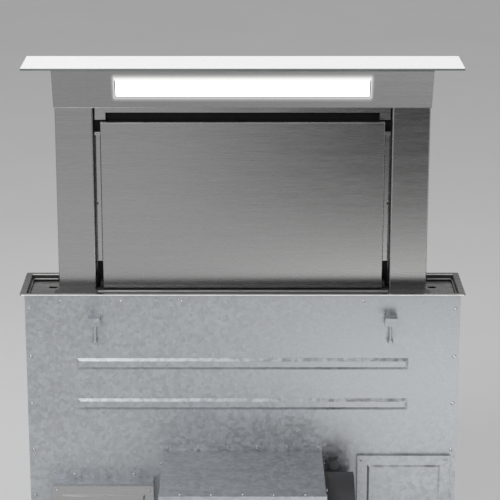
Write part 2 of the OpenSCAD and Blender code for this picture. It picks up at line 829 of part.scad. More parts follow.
module wheel_ring() {
    color("whitesmoke") on_wheel() difference() {
        cylinder(h = ring_h, r = wheel_r, $fn = 96);
        translate([0, 0, -1]) cylinder(h = ring_h + 2, r = wheel_r - blade_d * 0.7, $fn = 96);
    }
}

module duct_spigot() {
    flange = 2 * (duct_r + spigot_flange);
    flange_h = 3;
    color("dimgray") translate([box_w / 2, outlet_y, outlet_z]) difference() {
        union() {
            rotate([90, 0, 90]) linear_extrude(flange_h) rounded_rect(flange, flange, 2 * spigot_flange);
            bar_x(0, duct_l, duct_r);
        }
        bar_x(-1, duct_l + 1, duct_r - sheet);
        translate([pin_x - box_w / 2, 0, -duct_r - 1]) cylinder(h = 2 * duct_r + 2, r = pin_r);
    }
}

module flap_pin() {
    pin_l = 2 * duct_r - 1;
    color("lightsteelblue") translate([pin_x, outlet_y, outlet_z - pin_l / 2])
        cylinder(h = pin_l, r = pin_r);
}

// One half of the non-return damper, drawn towards +Y of the pin, with its knuckles from the given heights
module flap(knuckles) {
    color("lightgray") translate([pin_x, outlet_y, outlet_z]) difference() {
        union() {
            rotate([0, 90, 0]) translate([0, 0, -0.6]) linear_extrude(1.2) intersection() {
                circle(flap_r);
                translate([-flap_r, flap_edge]) square([2 * flap_r, flap_r]);
            }
            for (z = knuckles) translate([0, 0, z]) {
                cylinder(h = 16, r = knuckle_r);
                box3([-0.6, 0, 0], [0.6, flap_edge + 1, 16]);
            }
        }
        translate([0, 0, -duct_r]) cylinder(h = 2 * duct_r, r = pin_r + fit);
    }
}

module flap_rear() { flap([-46, 10]); }
module flap_front() { translate([0, 2 * outlet_y, 0]) mirror([0, 1, 0]) flap([-26, 30]); }

// Control box and covers

module control_box() {
    ear_w = 24;
    ear_h = 14;
    color("gainsboro") difference() {
        union() {
            box3([control_x, front_y - control_d, control_z],
                [control_x + control_w, front_y, control_z + control_h]);
            for (x = [0.2, 0.8]) translate([control_x + x * control_w, 0, control_z])
                box3([-ear_w / 2, front_y - sheet, 0], [ear_w / 2, front_y, control_h + ear_h]);
        }
        for (x = [0.2, 0.8]) translate([control_x + x * control_w, 0, control_z + control_h + ear_h / 2])
            bar_y(front_y - sheet - 1, front_y + 1, 2.5);
        box3([control_x + sheet, front_y - control_d - 1, control_z + sheet],
            [control_x + control_w - sheet, front_y - sheet, control_z + control_h - sheet]);
        translate([control_x + control_w / 2, front_y - control_d / 2, control_z - 1])
            cylinder(h = sheet + 2, r = gland_r + 3);
    }
}

module control_cover() {
    lip = 10;
    vent_l = 26;
    vent_w = 5;
    vent_pitch = 14;
    margin = 16;
    color("silver") {
        difference() {
            box3([control_x - sheet, front_y - control_d - sheet, control_z - sheet],
                [control_x + control_w + sheet, front_y - control_d + lip, control_z + control_h + sheet]);
            box3([control_x, front_y - control_d, control_z],
                [control_x + control_w, front_y, control_z + control_h]);
            for (i = [-4 : 4]) translate([control_x + control_w / 2 + i * vent_pitch, 0, control_z + vent_l])
                along_y(front_y - control_d - sheet - 1, front_y - control_d + 1)
                    rotate(90) oval(vent_l, vent_w);
        }
        raised_panel(control_x + margin, control_z + 2 * vent_l, control_x + control_w - margin,
            control_z + control_h - margin, front_y - control_d - sheet, emboss);
    }
}

module cable_gland() {
    color("#303030") translate([control_x + control_w / 2, front_y - control_d / 2, control_z])
        difference() {
            union() {
                translate([0, 0, -6]) cylinder(h = 6, r = gland_r + 6, $fn = 6);
                translate([0, 0, -18]) cylinder(h = 12, r = gland_r + 4);
                cylinder(h = 8, r = gland_r + 3);
            }
            translate([0, 0, -19]) cylinder(h = 28, r = gland_r);
        }
}

module service_cover() {
    x0 = box_w / 2 + duct_l + service_gap;
    x1 = housing_w / 2 - service_gap;
    margin = 20;
    color("silver") {
        difference() {
            box3([x0, front_y - service_d, control_z], [x1, front_y, control_z + service_h]);
            box3([x0 + sheet, front_y - service_d + sheet, control_z + sheet],
                [x1 - sheet, front_y + 1, control_z + service_h - sheet]);
        }
        raised_panel(x0 + margin, control_z + margin, x1 - margin, control_z + service_h - margin,
            front_y - service_d, emboss);
    }
}

// Tower

// Outline of a column in X and Y, drawn inward by g
module column_outline(g) {
    translate([(body_w - column_w) / 2, face_y + g])
        front_folds(column_w - 2 * g, back_y - face_y - 2 * g, fold_r - g);
}

module column() {
    difference() {
        translate([0, 0, -retained]) linear_extrude(head_z + retained) column_outline(0);
        translate([0, 0, -retained - 1]) linear_extrude(head_z + retained + 2) column_outline(skin);
    }
}

module column_left() { color("silver") mirror([1, 0, 0]) column(); }
module column_right() { color("silver") column(); }

module back_panel() {
    color("silver") box3([-recess_in / 2, back_y - skin, -retained], [recess_in / 2, back_y, head_z]);
}

// Outline of the head in Y and Z
module head_outline(g) {
    slant = g / cos(lean_a);
    polygon([
        [face_y - lean * g / head_h + slant, head_z + g],
        [head_y + lean * g / head_h + slant, head_top - g],
        [back_y - g, head_top - g],
        [back_y - g, head_z + g]
    ]);
}

module head_shell() {
    color("silver") difference() {
        along_x(-head_w / 2, head_w / 2) difference() {
            head_outline(0);
            head_outline(skin);
            translate([wall_y, head_z - 1]) square([back_y - skin - wall_y, skin + 2]);
        }
        on_lean() box3([-light_w / 2 - bezel_w, -10, -light_h / 2 - bezel_w],
            [light_w / 2 + bezel_w, 10, light_h / 2 + bezel_w]);
    }
}

module head_ends() {
    color("silver") both_sides() along_x(head_w / 2 - skin, head_w / 2) head_outline(skin);
}

module lid_carrier() {
    color("silver") difference() {
        box3([-head_w / 2, head_y, head_top], [head_w / 2, back_y, lid_z]);
        box3([-head_w / 2 + 30, head_y + 20, head_top - 1],
            [head_w / 2 - 30, back_y - 20, lid_z - 1]);
    }
}

module lid_glass() {
    color("white") translate([0, 0, lid_z]) linear_extrude(lid_t) rounded_rect(lid_w, lid_d, lid_r);
}

module light_bezel() {
    color("dimgray") on_lean() difference() {
        box3([-light_w / 2 - bezel_w, -proud, -light_h / 2 - bezel_w],
            [light_w / 2 + bezel_w, bezel_d, light_h / 2 + bezel_w]);
        box3([-light_w / 2, -proud - 1, -light_h / 2], [light_w / 2, bezel_d + 1, light_h / 2]);
    }
}

module light_diffuser() {
    color("white") on_lean() box3([-light_w / 2, -proud - 0.5, -light_h / 2],
        [light_w / 2, diffuser_t, light_h / 2]);
}

module light_board() {
    color("seagreen") on_lean() box3([-light_w / 2, bezel_d - board_t, -light_h / 2],
        [light_w / 2, bezel_d, light_h / 2]);
}

module filter_wall() {
    pocket_w = 2 * filter_w + 4;
    depth = filter_t + 1.5;
    color("#303030") difference() {
        union() {
            box3([-recess_in / 2, wall_y, -retained], [recess_in / 2, wall_y + skin, head_z]);
            box3([-pocket_w / 2 - skin, wall_y, filter_z - skin],
                [pocket_w / 2 + skin, pocket_y + depth + skin, filter_z + filter_h + pocket_top_gap + skin]);
        }
        box3([-pocket_w / 2, wall_y - 1, filter_z],
            [pocket_w / 2, pocket_y + depth, filter_z + filter_h + pocket_top_gap]);
        for (x = [-1, 1]) translate([x * pocket_w / 4, 0, 0])
            box3([-pocket_w / 4 + pocket_lip, wall_y, filter_z + pocket_lip],
                [pocket_w / 4 - pocket_lip, back_y, filter_z + filter_h - pocket_lip]);
    }
}

// The rim over the panel with the suction slot, its ends folded back to the wall, and the side strips
module recess_liner() {
    rim_bottom = panel_top + 2.5;
    color("silver") {
        difference() {
            along_y(panel_back, wall_y) translate([-liner_w / 2, rim_bottom])
                square([liner_w, head_z - rim_bottom]);
            box3([-liner_w / 2 + skin, panel_back + skin, rim_bottom - 1],
                [liner_w / 2 - skin, wall_y + 1, head_z + 1]);
            box3([-recess_in / 2 + slot_inset, panel_back - 1, rim_bottom - 1],
                [recess_in / 2 - slot_inset, wall_y, rim_bottom + slot_h]);
        }
        both_sides() difference() {
            box3([liner_w / 2 - strip_w, liner_y, strip_low], [liner_w / 2, wall_y, catch_z]);
            translate([liner_w / 2, 0, notch_z]) bar_y(liner_y - 1, wall_y + 1, strip_w / 3);
        }
    }
}

module filter_frames() {
    color("lightgray") both_sides() translate([0, pocket_y + 1.5, filter_z]) difference() {
        box3([0.5, 0, 0], [filter_w + 0.5, filter_t, filter_h]);
        box3([0.5 + filter_rim, -1, filter_rim],
            [filter_w + 0.5 - filter_rim, filter_t + 1, filter_h - filter_rim]);
        translate([0.5 + filter_w / 2, 0, filter_h - filter_rim / 2])
            along_y(-1, filter_t / 3) oval(40, filter_rim * 0.6);
    }
}

module filter_meshes() {
    pitch_x = 9;
    pitch_z = 22;
    w = filter_w - 2 * filter_rim;
    h = filter_h - 2 * filter_rim;
    nx = floor((w - 6) / pitch_x);
    nz = floor((h - 6) / pitch_z);
    color("darkgray") both_sides()
        translate([0.5 + filter_rim + w / 2, pocket_y + 1.5, filter_z + filter_rim + h / 2])
            difference() {
                box3([-w / 2, 2, -h / 2], [w / 2, filter_t - 2, h / 2]);
                for (i = [0 : nx - 1]) translate([(i + 0.5 - nx / 2) * pitch_x, 0, 0])
                    box3([-2, 1, -nz * pitch_z / 2], [2, 4, nz * pitch_z / 2]);
            }
}

module panel_catches() {
    color("dimgray") both_sides() difference() {
        box3([panel_w / 2 - 3, panel_back + 0.5, catch_z], [liner_w / 2 + 1, wall_y, catch_z + catch_h]);
        translate([panel_w / 2 + 6, 0, catch_z + catch_h / 2])
            bar_y(panel_back, panel_back + 3, 1.25);
    }
}

module panel_pivots() {
    ear_x = panel_w / 2 + 1;
    color("dimgray") both_sides() {
        box3([ear_x, pivot_y - pivot_r - 2, pivot_z - 5], [ear_x + 4, wall_y, pivot_z + 5]);
        translate([0, pivot_y, pivot_z]) bar_x(panel_w / 2 - 8, ear_x + 4, pivot_r);
    }
}

// The panel's body drawn inward by g, with its front edges rounded at the sides and the top
module panel_body(g) {
    d = panel_t - 2 * g;
    h = panel_top - panel_z - 2 * g;
    r = panel_r - g;
    intersection() {
        translate([0, face_y + g, panel_z + g]) linear_extrude(h) front_folds(panel_w - 2 * g, d, r);
        along_x(-panel_w, panel_w) translate([face_y + g, panel_z + g]) {
            square([d, h - r]);
            translate([r, 0]) square([d - r, h]);
            translate([r, h - r]) circle(r);
        }
    }
}

module front_panel() {
    color("silver") difference() {
        panel_body(0);
        panel_body(skin);
        box3([-panel_w / 2 + panel_lip, panel_back - skin - 1, panel_z + panel_lip],
            [panel_w / 2 - panel_lip, panel_back + 1, panel_top - skin - 2]);
        translate([0, pivot_y, pivot_z]) bar_x(-panel_w, panel_w, pivot_r + fit);
    }
}

// The slot in the foot plate draws air in under the panel, behind a low rail
module foot_plate() {
    rail_y = plate_y + plate_strip;
    slot_x = recess_in / 2 - 4;
    color("gray") {
        difference() {
            union() {
                box3([-plate_w / 2, plate_y, -plate_drop - skin], [plate_w / 2, face_y, -plate_drop]);
                box3([-recess_in / 2, face_y, -plate_drop - skin], [recess_in / 2, wall_y, -plate_drop]);
            }
            box3([-slot_x, rail_y, -plate_drop - skin - 1], [slot_x, face_y, -plate_drop + 1]);
        }
        box3([-plate_w / 2, plate_y, -plate_drop - plate_lip],
            [plate_w / 2, plate_y + skin, -plate_drop - skin]);
        box3([-slot_x, rail_y - skin, -plate_drop], [slot_x, rail_y, rail_h - plate_drop]);
    }
}

// Carriage and drive

module carriage_beam() {
    y0 = shaft_y - beam_w / 2;
    y1 = shaft_y + beam_w / 2;
    z0 = -retained - beam_h;
    color("gray") difference() {
        box3([-beam_end, y0, z0], [beam_end, y1, -retained]);
        box3([-beam_end + 4, y0 + beam_t, z0 - 1], [beam_end - 4, y1 - beam_t, -retained - beam_t]);
        box3([-31, shaft_y, z0 - 1], [31, y1 + 1, -retained + 1]);
        both_sides() for (i = [0 : 2]) translate([90 + 70 * i, shaft_y, -retained - beam_t - 1])
            linear_extrude(beam_t + 2) oval(50, 26);
        both_sides() translate([0, shaft_y, shaft_z]) bar_x(beam_end - 5, beam_end + 1, shaft_r + fit);
    }
}

module guide_block() {
    arm_end = rod_y + block_w / 2;
    color("darkslategray") difference() {
        union() {
            translate([rod_x, rod_y, block_z]) linear_extrude(block_h) rounded_rect(block_w, block_w, 4);
            box3([body_w / 2, face_y, block_z + 10], [beam_end + 4, arm_end, block_top - 6]);
        }
        translate([rod_x, rod_y, block_z - 1]) cylinder(h = block_h + 2, r = rod_r + bush_t);
        for (z = [0.2, 0.5, 0.8]) translate([(body_w / 2 + beam_end) / 2, 0, block_z + z * block_h])
            bar_y(face_y - 1, arm_end + 1, 2.75);
    }
}

module guide_block_left() { mirror([1, 0, 0]) guide_block(); }
module guide_block_right() { guide_block(); }

module guide_bushes() {
    color("goldenrod") both_sides() for (z = [block_z, block_top - bush_l]) translate([rod_x, rod_y, z])
        difference() {
            cylinder(h = bush_l, r = rod_r + bush_t);
            translate([0, 0, -1]) cylinder(h = bush_l + 2, r = rod_r + fit);
        }
}

module lift_gearbox() {
    half = 30;
    boss = 4;
    y0 = shaft_y - beam_w / 2 + beam_t;
    y1 = worm_y + motor_r;
    z0 = shaft_z - beam_h / 2;
    color("darkslategray") difference() {
        union() {
            translate([0, (y0 + y1) / 2, z0]) linear_extrude(-retained - beam_t - z0)
                rounded_rect(2 * half, y1 - y0, 5);
            translate([0, shaft_y, shaft_z]) bar_x(-half - boss, half + boss, shaft_r + 6);
            translate([0, worm_y, z0 - boss]) cylinder(h = boss, r = motor_r - 4);
        }
        translate([0, shaft_y, shaft_z]) bar_x(-half - boss - 1, half + boss + 1, shaft_r + fit);
    }
}

module lift_motor() {
    color("dimgray") translate([0, worm_y, -retained - beam_t]) {
        linear_extrude(4) rounded_rect(2 * motor_r, 2 * motor_r, 6);
        translate([0, 0, 4]) cylinder(h = 3, r = motor_r - 2);
        translate([0, 0, 7]) cylinder(h = motor_l - 15, r = motor_r);
        translate([0, 0, motor_l - 8]) cylinder(h = 4, r = motor_r - 3);
        for (x = [-8, 8]) translate([x, 0, motor_l - 4]) box3([-1, -3, 0], [1, 3, 4]);
    }
}

module drive_shaft() {
    end = pinion_x + tooth_w + 2;
    groove = end - 4;
    color("lightsteelblue") translate([0, shaft_y, shaft_z]) difference() {
        bar_x(-end, end, shaft_r);
        both_sides() difference() {
            bar_x(groove, groove + 1, shaft_r + 1);
            bar_x(groove - 1, groove + 2, shaft_r - 0.6);
        }
    }
}

// The teeth are turned so that a gap faces the rack's tooth at the raised height
module pinion() {
    phase = (shaft_z - rack_bottom) / pitch - 0.5;
    turn = 90 - (phase - floor(phase) - 0.5) * 360 / pinion_teeth;
    color("slategray") translate([pinion_x, shaft_y, shaft_z]) difference() {
        union() {
            rotate([0, 90, 0]) rotate(turn) linear_extrude(tooth_w) polygon(pinion_points());
            bar_x(-3, tooth_w + 2, shaft_r + 5);
        }
        bar_x(-4, tooth_w + 3, shaft_r);
    }
}

module pinions() {
    pinion();
    mirror([1, 0, 0]) pinion();
}

housing_front();
housing_back();
housing_left();
housing_right();
housing_base();
trim_frame();
frame_seal();
tray_left();
tray_right();
worktop_clamps();
guide_rods();
rod_brackets();
racks();
rack_rails();
foot_brackets();
levelling_feet();
blower_box();
blower_cover();
inlet_cone();
blower_scroll();
fan_motor();
motor_bracket();
impeller();
wheel_blades();
wheel_ring();
fan_shaft();
duct_spigot();
flap_pin();
flap_front();
flap_rear();
control_box();
control_cover();
cable_gland();
service_cover();
column_left();
column_right();
back_panel();
head_shell();
head_ends();
lid_carrier();
lid_glass();
light_bezel();
light_diffuser();
light_board();
filter_wall();
recess_liner();
filter_frames();
filter_meshes();
panel_catches();
panel_pivots();
front_panel();
foot_plate();
carriage_beam();
guide_block_left();
guide_block_right();
guide_bushes();
lift_gearbox();
lift_motor();
drive_shaft();
pinions();
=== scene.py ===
import json
import math
import bmesh
import bpy
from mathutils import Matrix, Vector


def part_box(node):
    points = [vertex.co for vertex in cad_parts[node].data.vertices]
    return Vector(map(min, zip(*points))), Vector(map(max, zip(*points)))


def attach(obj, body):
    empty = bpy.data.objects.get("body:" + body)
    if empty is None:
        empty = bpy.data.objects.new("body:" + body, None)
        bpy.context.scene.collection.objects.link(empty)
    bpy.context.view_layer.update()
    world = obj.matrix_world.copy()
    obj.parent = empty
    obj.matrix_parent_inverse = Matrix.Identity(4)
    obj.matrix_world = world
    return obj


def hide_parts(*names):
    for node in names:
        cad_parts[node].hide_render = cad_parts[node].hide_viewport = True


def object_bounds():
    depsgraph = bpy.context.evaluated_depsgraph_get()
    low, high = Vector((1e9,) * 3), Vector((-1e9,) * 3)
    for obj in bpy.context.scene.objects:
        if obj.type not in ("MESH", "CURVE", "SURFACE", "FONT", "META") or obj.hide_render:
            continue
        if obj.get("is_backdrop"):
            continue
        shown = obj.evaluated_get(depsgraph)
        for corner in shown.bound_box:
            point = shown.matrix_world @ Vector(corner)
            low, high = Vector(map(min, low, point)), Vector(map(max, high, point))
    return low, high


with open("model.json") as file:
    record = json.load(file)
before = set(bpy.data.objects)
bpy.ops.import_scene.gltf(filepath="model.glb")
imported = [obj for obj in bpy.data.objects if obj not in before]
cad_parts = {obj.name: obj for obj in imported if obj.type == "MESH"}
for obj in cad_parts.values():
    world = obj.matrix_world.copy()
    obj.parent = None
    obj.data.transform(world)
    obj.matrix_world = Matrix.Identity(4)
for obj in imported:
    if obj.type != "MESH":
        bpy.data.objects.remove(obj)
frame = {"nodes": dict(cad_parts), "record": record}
cad_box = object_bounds()
nodes = frame["nodes"]
scene = bpy.context.scene
MM = 0.001


# Camera: fitted to the photograph, with shifts that place the hood in the picture as there

camera_data = bpy.data.cameras.new("camera")
camera_data.lens = 140.4
camera_data.sensor_width = 36
camera_data.shift_x = 0.0148
camera_data.shift_y = -0.05
camera = bpy.data.objects.new("camera", camera_data)
camera.location = (0, -3.724, 1.212)
camera.rotation_euler = (math.radians(73.72), 0, 0)
scene.collection.objects.link(camera)
scene.camera = camera


# Materials, all procedural, in the row frame's metres

LIGHT_COLOUR = (1, 1, 0.985, 1)
HEAD_FRONT_Y = -0.0205      # the head's leaning face lies in front of this
BEZEL_TOP_DROP = 0.0012     # the bezel glows from this far under the diffuser's top upwards
HALO_INSET = 0.001          # the halo starts this far inside the bezel's top and bottom
SIDE_FADE = 1.5             # the halo fades this much faster to the sides than up and down


class Look:
    """A Principled material whose detail comes from short chains of nodes."""

    def __init__(self, name, rgb, metallic=0.0, roughness=0.5, **sockets):
        self.mat = bpy.data.materials.new(name)
        self.mat.use_nodes = True
        self.tree = self.mat.node_tree
        self.shader = self.tree.nodes["Principled BSDF"]
        self.rgb = rgb
        self.put("Base Color", (*rgb, 1))
        self.put("Metallic", metallic)
        self.put("Roughness", roughness)
        for key, value in sockets.items():
            self.put(key.replace("_", " "), value)
        self.coord = self.tree.nodes.new("ShaderNodeTexCoord")

    def put(self, socket, value):
        self.shader.inputs[socket].default_value = value

    def node(self, kind, inputs=None, **props):
        """A node whose inputs are linked from sockets or set to plain values."""
        made = self.tree.nodes.new(kind)
        for key, value in props.items():
            setattr(made, key, value)
        for key, value in (inputs or {}).items():
            if isinstance(value, bpy.types.NodeSocket):
                self.tree.links.new(value, made.inputs[key])
            else:
                made.inputs[key].default_value = value
        return made

    def place(self, scale=(1, 1, 1), turn=(0, 0, 0)):
        return self.node("ShaderNodeMapping", {"Vector": self.coord.outputs["Object"], "Scale": scale,
                                               "Rotation": [math.radians(a) for a in turn]}).outputs[0]

    def noise(self, vector, scale=1.0, detail=2.0, rough=0.5):
        return self.node("ShaderNodeTexNoise", {"Vector": vector, "Scale": scale, "Detail": detail,
                                                "Roughness": rough}).outputs["Fac"]

    def cells(self, vector, scale=1.0, output="Color"):
        return self.node("ShaderNodeTexVoronoi", {"Vector": vector, "Scale": scale}).outputs[output]

    def math(self, kind, a, b=0.0, clamp=False):
        return self.node("ShaderNodeMath", {0: a, 1: b}, operation=kind, use_clamp=clamp).outputs[0]

    def span(self, value, out_lo, out_hi, in_lo=0.3, in_hi=0.7):
        return self.node("ShaderNodeMapRange", {"Value": value, "From Min": in_lo, "From Max": in_hi,
                                                "To Min": out_lo, "To Max": out_hi}).outputs[0]

    def to(self, socket, value):
        self.tree.links.new(value, self.shader.inputs[socket])

    def tones(self, factor, dark, light):
        """Vary the base colour between a darker and a lighter tone of itself."""
        low = (*[c * dark for c in self.rgb], 1)
        high = (*[min(c * light, 1) for c in self.rgb], 1)
        mixed = self.node("ShaderNodeMix", {0: factor, 6: low, 7: high}, data_type="RGBA")
        self.to("Base Color", mixed.outputs[2])

    def bump(self, height, strength, distance, edge=0.0005):
        """A fine relief, over edges that are broken by the given radius."""
        broken = self.node("ShaderNodeBevel", {"Radius": edge}, samples=6).outputs[0]
        self.to("Normal", self.node("ShaderNodeBump", {"Height": height, "Strength": strength,
                                                       "Distance": distance, "Normal": broken}).outputs[0])


def by_side(look, front, side):
    """One vector on faces that look to the front, back, up or down, another on those to the side."""
    normal = look.node("ShaderNodeSeparateXYZ", {0: look.coord.outputs["Normal"]})
    turned = look.math("GREATER_THAN", look.math("ABSOLUTE", normal.outputs[0]), 0.7)
    return look.node("ShaderNodeMix", {0: turned, 4: front, 5: side}, data_type="VECTOR").outputs[1]


def grain(look, along, across):
    """Coordinates stretched along X, or along Y on faces that look to the side."""
    return by_side(look, look.place((along, across, across)), look.place((across, along, across)))


def brushed(name, rgb, roughness=0.27):
    """Stainless sheet, brushed along its length: fine lines, faint broad bands and a few short streaks."""
    look = Look(name, rgb, metallic=1.0, roughness=roughness, Anisotropic=0.35, Anisotropic_Rotation=0.25)
    vector = grain(look, 16, 950)
    fine = look.noise(vector, 1.0, 5.0, 0.7)
    broad = look.noise(vector, 0.1, 2.0)
    streak = look.span(look.noise(grain(look, 45, 600), 1.0, 1.0), 0.0, 1.0, 0.68, 0.76)
    mixed = look.math("ADD", look.math("MULTIPLY", fine, 0.82), look.math("MULTIPLY", broad, 0.18))
    look.tones(look.math("ADD", look.span(mixed, 0.0, 0.92, 0.34, 0.66),
                         look.math("MULTIPLY", streak, 0.08)), 0.93, 1.04)
    look.to("Roughness", look.span(mixed, roughness - 0.04, roughness + 0.04, 0.36, 0.64))
    look.to("Tangent", by_side(look, (1, 0, 0), (0, 1, 0)))
    look.bump(fine, 0.05, 0.0002)
    return look


def galvanised(name, rgb):
    """Zinc-coated sheet with its spangle and a light rolling haze."""
    look = Look(name, rgb, metallic=1.0, roughness=0.42)
    waver = look.noise(look.place((160, 160, 160)), 1.0, 2.0)
    waver = look.node("ShaderNodeCombineXYZ", {0: waver, 1: waver, 2: waver}).outputs[0]
    waver = look.node("ShaderNodeVectorMath", {0: waver, 3: 0.006}, operation="SCALE").outputs[0]
    moved = look.node("ShaderNodeVectorMath", {0: look.place(), 1: waver}, operation="ADD").outputs[0]
    spangle = look.node("ShaderNodeSeparateColor", {0: look.cells(moved, 130.0)}).outputs[0]
    small = look.node("ShaderNodeSeparateColor", {0: look.cells(moved, 330.0)}).outputs[1]
    haze = look.noise(look.place((3, 9, 9)), 1.0, 3.0)
    mixed = look.math("ADD", look.math("MULTIPLY", spangle, 0.5),
                      look.math("ADD", look.math("MULTIPLY", small, 0.2), look.math("MULTIPLY", haze, 0.3)))
    look.tones(look.span(mixed, 0.0, 1.0, 0.15, 0.85), 0.80, 1.10)
    look.to("Roughness", look.span(mixed, 0.34, 0.52, 0.2, 0.8))
    look.bump(spangle, 0.04, 0.0002)
    return look


def moulded(name, rgb, roughness=0.5, pebble=1400, strength=0.12):
    """Moulded plastic or rubber with a fine pebble and faint flow marks."""
    look = Look(name, rgb, roughness=roughness)
    pebbles = look.noise(look.place(), pebble, 3.0)
    flow = look.noise(look.place((14, 14, 30)), 1.0, 3.0)
    mixed = look.math("ADD", look.math("MULTIPLY", pebbles, 0.4), look.math("MULTIPLY", flow, 0.6))
    look.tones(look.span(mixed, 0.0, 1.0), 0.82, 1.15)
    look.to("Roughness", look.span(flow, roughness - 0.06, roughness + 0.08))
    look.bump(pebbles, strength, 0.0003)
    return look


def coated(name, rgb, gloss=0.5):
    """Powder coat with its orange peel."""
    look = Look(name, rgb, roughness=0.42, Specular_IOR_Level=gloss)
    peel = look.noise(look.place(), 900.0, 2.0)
    look.tones(look.span(look.noise(look.place(), 30.0, 3.0), 0.0, 1.0), 0.8, 1.3)
    look.to("Roughness", look.span(peel, 0.34, 0.5))
    look.bump(peel, 0.25, 0.0003)
    return look


def cast(name, rgb):
    """Bead-blasted die casting."""
    look = Look(name, rgb, metallic=1.0, roughness=0.5)
    grit = look.noise(look.place(), 1800.0, 4.0, 0.6)
    cloud = look.noise(look.place(), 45.0, 3.0)
    mixed = look.math("ADD", look.math("MULTIPLY", grit, 0.5), look.math("MULTIPLY", cloud, 0.5))
    look.tones(look.span(mixed, 0.0, 1.0), 0.84, 1.08)
    look.to("Roughness", look.span(cloud, 0.44, 0.6))
    look.bump(grit, 0.3, 0.0004)
    return look


def ground(name, rgb, roughness=0.18):
    """Ground and plated metal with fine lines along Y."""
    look = Look(name, rgb, metallic=1.0, roughness=roughness)
    lines = look.noise(look.place((1600, 60, 1600)), 1.0, 3.0)
    cloud = look.noise(look.place(), 40.0, 2.0)
    look.tones(look.span(cloud, 0.0, 1.0), 0.9, 1.06)
    look.to("Roughness", look.span(lines, roughness - 0.05, roughness + 0.08))
    look.bump(lines, 0.04, 0.0002)
    return look


def woven(name, rgb):
    """Aluminium fleece: two crossed strand patterns."""
    look = Look(name, rgb, metallic=1.0, roughness=0.4)
    waves = [look.node("ShaderNodeTexWave", {"Vector": look.place(turn=(0, angle, 0)), "Scale": 90.0,
                                             "Distortion": 1.2, "Detail": 1.0, "Detail Scale": 40.0})
             for angle in (45, -45)]
    strands = look.math("MAXIMUM", waves[0].outputs["Fac"], waves[1].outputs["Fac"])
    look.tones(look.span(strands, 0.0, 1.0, 0.2, 0.9), 0.35, 1.05)
    look.to("Roughness", look.span(strands, 0.6, 0.34, 0.2, 0.9))
    look.bump(strands, 0.6, 0.0006)
    return look


def white_glass(name, rgb):
    """Back-painted glass: a glossy face with the faintest haze under it."""
    look = Look(name, rgb, roughness=0.05, IOR=1.52)
    haze = look.noise(look.place((5, 20, 20)), 1.0, 3.0)
    look.tones(look.span(haze, 0.0, 1.0), 0.985, 1.01)
    look.to("Roughness", look.span(haze, 0.03, 0.07))
    return look


def opal(name):
    """Lit opal diffuser, a touch brighter in bands, as over a row of diodes."""
    look = Look(name, (0.95, 0.95, 0.94), roughness=0.35, Emission_Color=LIGHT_COLOUR)
    bands = look.node("ShaderNodeTexWave", {"Vector": look.place(), "Scale": 16.0}).outputs["Fac"]
    look.to("Emission Strength", look.span(bands, 2.2, 2.6, 0.0, 1.0))
    look.bump(look.noise(look.place(), 1200.0, 2.0), 0.05, 0.0002)
    return look


def board(name):
    """Circuit board: solder mask over tracks."""
    look = Look(name, (0.03, 0.22, 0.10), roughness=0.3)
    tracks = look.node("ShaderNodeTexBrick", {"Vector": look.place(turn=(90, 0, 0)), "Scale": 60.0,
                                              "Mortar Size": 0.03}).outputs["Fac"]
    look.tones(tracks, 1.0, 1.9)
    look.bump(tracks, 0.1, 0.0001)
    return look


def outside(look, value, half):
    """How far a coordinate lies outside a span of the given half width."""
    return look.math("MAXIMUM", look.math("SUBTRACT", look.math("ABSOLUTE", value), half), 0.0)


def lit_rim(look, reach, strength):
    """The diffuser's light scattered on the leaning face round its window."""
    lo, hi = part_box("light_bezel")
    middle, half = (hi.z + lo.z) / 2, (hi.z - lo.z) / 2 - HALO_INSET
    place = look.node("ShaderNodeSeparateXYZ", {0: look.coord.outputs["Object"]}).outputs
    dx = look.math("MULTIPLY", outside(look, place[0], hi.x), SIDE_FADE)
    dz = outside(look, look.math("SUBTRACT", place[2], middle), half)
    squares = look.math("ADD", look.math("MULTIPLY", dx, dx), look.math("MULTIPLY", dz, dz))
    far = look.math("SQRT", squares)
    front = look.math("LESS_THAN", place[1], HEAD_FRONT_Y)
    near = look.math("SUBTRACT", 1.0, look.math("DIVIDE", far, reach), clamp=True)
    halo = look.math("MULTIPLY", look.math("MULTIPLY", near, near), strength)
    look.put("Emission Color", LIGHT_COLOUR)
    look.to("Emission Strength", look.math("MULTIPLY", halo, front))
    return look


def lit_top(look):
    """The upper side of the bezel, washed out by the diffuser's light."""
    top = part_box("light_diffuser")[1].z
    place = look.node("ShaderNodeSeparateXYZ", {0: look.coord.outputs["Object"]}).outputs
    above = look.math("GREATER_THAN", place[2], top - BEZEL_TOP_DROP)
    look.put("Emission Color", LIGHT_COLOUR)
    look.to("Emission Strength", look.math("MULTIPLY", above, 0.85))
    return look


def grey(value):
    return (value, value, value * 0.99)


STEEL = grey(0.45)
LOOKS = {
    "galvanised_sheet": galvanised("galvanised_sheet", (0.52, 0.54, 0.56)),
    "brushed_stainless": brushed("brushed_stainless", STEEL),
    "black_rubber": moulded("black_rubber", (0.018, 0.018, 0.018), 0.7, 2200, 0.25),
    "ground_steel": ground("ground_steel", (0.56, 0.57, 0.59)),
    "moulded_black": moulded("moulded_black", (0.028, 0.028, 0.032), 0.48),
    "moulded_grey": moulded("moulded_grey", (0.34, 0.35, 0.36), 0.5),
    "cast_aluminium": cast("cast_aluminium", (0.52, 0.53, 0.54)),
    "painted_black": coated("painted_black", (0.022, 0.022, 0.024)),
    "filter_aluminium": woven("filter_aluminium", (0.6, 0.61, 0.62)),
    "white_glass": white_glass("white_glass", (0.93, 0.932, 0.93)),
    "light_opal": opal("light_opal"),
    "circuit_board": board("circuit_board"),
    "bronze": ground("bronze", (0.55, 0.36, 0.17), 0.35),
}

